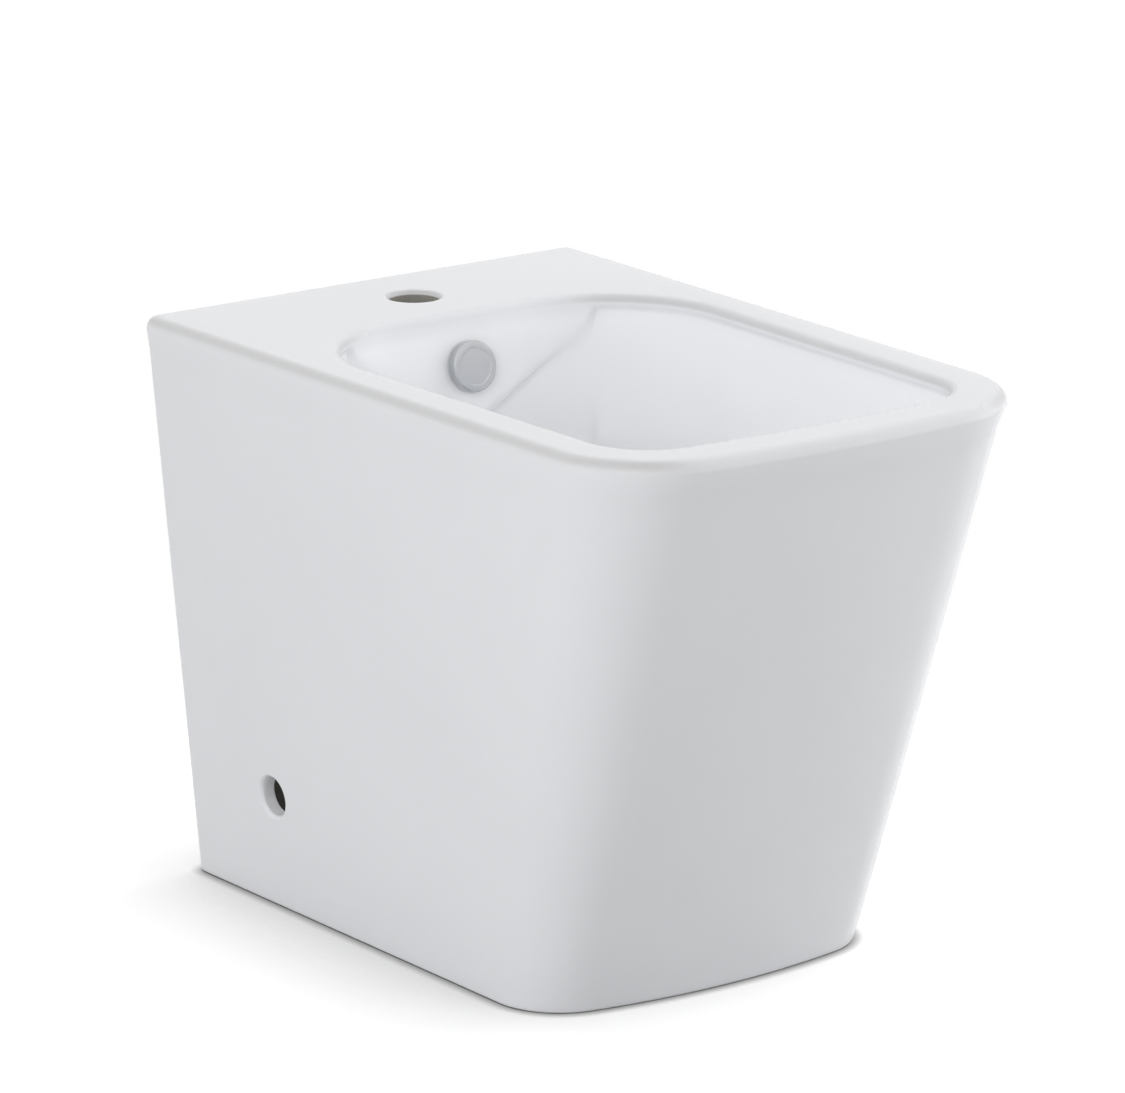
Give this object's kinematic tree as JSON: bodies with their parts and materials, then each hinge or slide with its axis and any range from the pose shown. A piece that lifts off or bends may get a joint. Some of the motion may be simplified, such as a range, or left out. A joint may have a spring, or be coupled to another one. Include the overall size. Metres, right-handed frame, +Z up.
{
  "type": "bidet",
  "caption": "Floor-standing, back-to-wall bidet in white glazed ceramic, tapering to its foot, with a tap hole, a chrome overflow cap and a click waste whose plug slides.",
  "frame": {"origin": "on the floor, midway across the width and midway between the wall and the furthest point of the front", "axes": "+Z up, +Y towards the wall behind, +X towards the right as seen from the front"},
  "size_m": [0.36, 0.54, 0.4],
  "materials": {
    "ceramic": "gloss glaze",
    "chrome": "polished",
    "brass": "machined",
    "rubber": "matt",
    "insert_plastic": "moulded",
    "washer_plastic": "moulded",
    "latch_plastic": "moulded",
    "spring_steel": "drawn wire"
  },
  "bodies": {
    "basin": {"ceramic_body": "ceramic", "overflow_seal": "rubber", "overflow_insert": "insert_plastic", "overflow_cap": "chrome", "waste_body": "chrome", "flange_gasket": "rubber", "cone_gasket": "rubber", "slip_washer": "washer_plastic", "back_nut": "brass", "tail_seal": "rubber", "tailpiece": "chrome", "latch_cartridge": "latch_plastic", "latch_spring": "spring_steel"},
    "plug": {"plug_stem": "brass", "plug_seal": "rubber", "waste_plug": "chrome"}
  },
  "joints": [
    {"name": "plug_slide", "type": "slide", "parent": "basin", "child": "plug", "axis": [0, 0, 1], "range_m": [-0.01, 0], "stiffness_N_per_m": 600, "springref_m": 0.01, "deforming": ["latch_spring"]}
  ]
}
